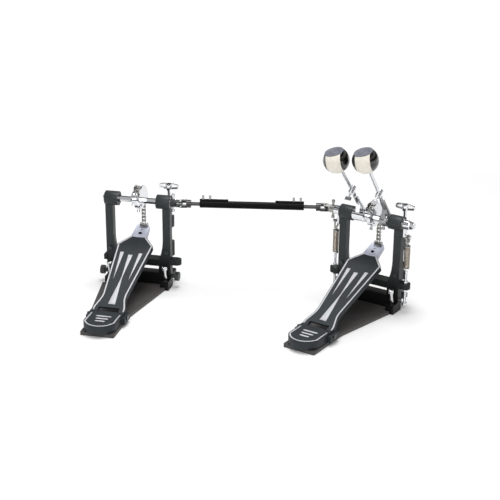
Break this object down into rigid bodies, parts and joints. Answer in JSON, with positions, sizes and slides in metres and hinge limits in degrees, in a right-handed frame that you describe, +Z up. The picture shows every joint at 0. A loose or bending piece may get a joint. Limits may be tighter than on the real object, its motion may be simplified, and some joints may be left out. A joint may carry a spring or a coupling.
{
  "type": "double bass drum pedal",
  "caption": "Chain-driven double bass drum pedal: main and slave pedal joined by a telescopic drive shaft with universal joints, swinging felt beaters, springs and hoop clamp.",
  "frame": {"origin": "on the floor, on the underside of the main base plate under the middle of the main axle", "axes": "+X along the main axle to the drummer's right, +Y towards the drum, +Z up"},
  "size_m": [0.6558, 0.5153, 0.3731],
  "materials": {
    "black_casting": "satin",
    "brown_plate": "matt",
    "slate_coat": "fine texture",
    "bare_toe": "satin",
    "chrome": "polished",
    "steel": "plain",
    "grey_hub": "satin",
    "shaft_black": "gloss",
    "felt": "felt with smooth dark sides"
  },
  "bodies": {
    "main_stand": {"main_base_plate": "brown_plate", "main_frame": "black_casting", "main_bearings": "steel", "main_fasteners": "chrome", "main_heel_plate": "slate_coat", "main_hinge_pin": "chrome", "main_tension_rod": "chrome", "slave_tension_rod": "chrome", "main_spring": "steel", "slave_spring": "steel"},
    "main_treadle": {"main_footboard": "slate_coat", "main_toe_plate": "bare_toe", "main_chain_clip": "steel"},
    "main_chain": {"main_chain_lower": "steel"},
    "main_drive": {"main_axle": "chrome", "main_cam": "chrome", "main_chain_upper": "steel", "main_beater_hub": "grey_hub", "main_spring_crank": "chrome"},
    "main_beater_height": {"main_memory_lock": "chrome"},
    "main_beater": {"main_beater_rod": "chrome", "main_beater_head": "felt"},
    "main_hook": {"main_spring_hook": "steel"},
    "main_tee": {"main_clamp_rod": "chrome"},
    "main_jaw": {"main_hoop_jaw": "black_casting"},
    "main_left_spur": {"main_spur_left": "chrome"},
    "main_right_spur": {"main_spur_right": "chrome"},
    "slave_stand": {"slave_base_plate": "brown_plate", "slave_frame": "black_casting", "slave_bearings": "steel", "slave_fasteners": "chrome", "slave_heel_plate": "slate_coat", "slave_hinge_pin": "chrome"},
    "slave_treadle": {"slave_footboard": "slate_coat", "slave_toe_plate": "bare_toe", "slave_chain_clip": "steel"},
    "slave_chain": {"slave_chain_lower": "steel"},
    "slave_drive": {"slave_axle": "chrome", "slave_cam": "chrome", "slave_chain_upper": "steel", "axle_yoke_left": "chrome", "joint_cross_left": "chrome"},
    "shaft_inner": {"shaft_rod_left": "chrome"},
    "shaft_outer": {"shaft_tube": "shaft_black", "shaft_set_screws": "chrome", "shaft_rod_right": "chrome"},
    "slave_sleeve": {"slave_beater_sleeve": "chrome", "slave_spring_crank": "chrome", "axle_yoke_right": "chrome", "joint_cross_right": "chrome"},
    "slave_beater_height": {"slave_memory_lock": "chrome"},
    "slave_beater": {"slave_beater_rod": "chrome", "slave_beater_head": "felt"},
    "slave_hook": {"slave_spring_hook": "steel"},
    "slave_tee": {"slave_clamp_rod": "chrome"},
    "slave_jaw": {"slave_hoop_jaw": "black_casting"},
    "slave_left_spur": {"slave_spur_left": "chrome"},
    "slave_right_spur": {"slave_spur_right": "chrome"}
  },
  "joints": [
    {"name": "main_axle_turn", "type": "hinge", "parent": "main_stand", "child": "main_drive", "pos_m": [0, 0, 0.195], "axis": [-1, 0, 0], "range_deg": [0, 60], "stiffness_Nm_per_rad": 1, "springref_deg": -28.65},
    {"name": "main_treadle_hinge", "type": "hinge", "parent": "main_stand", "child": "main_treadle", "pos_m": [0, -0.21763, 0.016], "axis": [-1, 0, 0], "range_deg": [0, 6.78]},
    {"name": "main_chain_swing", "type": "hinge", "parent": "main_treadle", "child": "main_chain", "pos_m": [0, 0.0275, 0.13051], "axis": [-1, 0, 0], "range_deg": [-13.77, 0]},
    {"name": "main_tee_turn", "type": "hinge", "parent": "main_stand", "child": "main_tee", "pos_m": [0.0605, 0.03, 0], "axis": [0, 0, 1], "range_deg": [-1810, 1090]},
    {"name": "main_jaw_slide", "type": "slide", "parent": "main_stand", "child": "main_jaw", "axis": [0, 0, -1], "range_m": [-0.01, 0.006]},
    {"name": "main_left_spur_slide", "type": "slide", "parent": "main_stand", "child": "main_left_spur", "axis": [0, 0.2588, -0.9659], "range_m": [-0.004, 0.004]},
    {"name": "main_right_spur_slide", "type": "slide", "parent": "main_stand", "child": "main_right_spur", "axis": [0, 0.2588, -0.9659], "range_m": [-0.004, 0.004]},
    {"name": "slave_axle_turn", "type": "hinge", "parent": "slave_stand", "child": "slave_drive", "pos_m": [-0.46999, -0.19098, 0.195], "axis": [-0.9367, -0.3502, 0], "range_deg": [0, 60], "stiffness_Nm_per_rad": 1, "springref_deg": -28.65},
    {"name": "slave_treadle_hinge", "type": "hinge", "parent": "slave_stand", "child": "slave_treadle", "pos_m": [-0.39377, -0.39482, 0.016], "axis": [-0.9367, -0.3502, 0], "range_deg": [0, 6.78]},
    {"name": "slave_chain_swing", "type": "hinge", "parent": "slave_treadle", "child": "slave_chain", "pos_m": [-0.47962, -0.16522, 0.13051], "axis": [-0.9367, -0.3502, 0], "range_deg": [-13.77, 0]},
    {"name": "slave_tee_turn", "type": "hinge", "parent": "slave_stand", "child": "slave_tee", "pos_m": [-0.42382, -0.14169, 0], "axis": [0, 0, 1], "range_deg": [-1810, 1090]},
    {"name": "slave_jaw_slide", "type": "slide", "parent": "slave_stand", "child": "slave_jaw", "axis": [0, 0, -1], "range_m": [-0.01, 0.006]},
    {"name": "slave_left_spur_slide", "type": "slide", "parent": "slave_stand", "child": "slave_left_spur", "axis": [-0.0906, 0.2424, -0.9659], "range_m": [-0.004, 0.004]},
    {"name": "slave_right_spur_slide", "type": "slide", "parent": "slave_stand", "child": "slave_right_spur", "axis": [-0.0906, 0.2424, -0.9659], "range_m": [-0.004, 0.004]},
    {"name": "shaft_length", "type": "slide", "parent": "main_stand", "child": "slave_stand", "axis": [-0.8632, -0.5048, 0], "range_m": [-0.018, 0.045]},
    {"name": "shaft_inner_turn", "type": "hinge", "parent": "slave_stand", "child": "shaft_inner", "pos_m": [-0.38006, -0.15735, 0.195], "axis": [-0.8632, -0.5048, 0], "range_deg": [0, 60.05]},
    {"name": "shaft_outer_turn", "type": "hinge", "parent": "main_stand", "child": "shaft_outer", "pos_m": [-0.111, 0, 0.195], "axis": [-0.8632, -0.5048, 0], "range_deg": [0, 60.05]},
    {"name": "slave_sleeve_turn", "type": "hinge", "parent": "main_stand", "child": "slave_sleeve", "pos_m": [0, 0, 0.195], "axis": [-1, 0, 0], "range_deg": [0, 60.05]},
    {"name": "main_beater_slide", "type": "slide", "parent": "main_drive", "child": "main_beater_height", "axis": [0, -0.6018, 0.7986], "range_m": [-0.012, 0.02]},
    {"name": "main_beater_twist", "type": "hinge", "parent": "main_beater_height", "child": "main_beater", "pos_m": [0.03, 0.01198, 0.20403], "axis": [0, -0.6018, 0.7986], "continuous": true},
    {"name": "main_hook_slide", "type": "slide", "parent": "main_stand", "child": "main_hook", "axis": [0, -0.866, 0.5], "range_m": [0, 0.02602], "deforming": ["main_spring"]},
    {"name": "slave_beater_slide", "type": "slide", "parent": "slave_sleeve", "child": "slave_beater_height", "axis": [0, -0.6561, 0.7547], "range_m": [-0.012, 0.02]},
    {"name": "slave_beater_twist", "type": "hinge", "parent": "slave_beater_height", "child": "slave_beater", "pos_m": [-0.03, 0.01132, 0.20484], "axis": [0, -0.6561, 0.7547], "continuous": true},
    {"name": "slave_hook_slide", "type": "slide", "parent": "main_stand", "child": "slave_hook", "axis": [0, -0.866, 0.5], "range_m": [0, 0.02602], "deforming": ["slave_spring"]}
  ],
  "couplings": [
    {"joint": "main_treadle_hinge", "follows": "main_axle_turn", "ratio": 0.11219},
    {"joint": "main_chain_swing", "follows": "main_axle_turn", "ratio": -0.2287},
    {"joint": "main_tee_turn", "follows": "main_jaw_slide", "rad_per_m": 3141.6},
    {"joint": "slave_treadle_hinge", "follows": "slave_axle_turn", "ratio": 0.11219},
    {"joint": "slave_chain_swing", "follows": "slave_axle_turn", "ratio": -0.2287},
    {"joint": "slave_tee_turn", "follows": "slave_jaw_slide", "rad_per_m": 3141.6},
    {"joint": "shaft_inner_turn", "follows": "slave_axle_turn", "ratio": 1},
    {"joint": "shaft_outer_turn", "follows": "slave_axle_turn", "ratio": 1},
    {"joint": "slave_sleeve_turn", "follows": "slave_axle_turn", "ratio": 1},
    {"joint": "main_hook_slide", "follows": "main_axle_turn", "m_per_rad": 0.024828},
    {"joint": "slave_hook_slide", "follows": "slave_axle_turn", "m_per_rad": 0.024828}
  ]
}
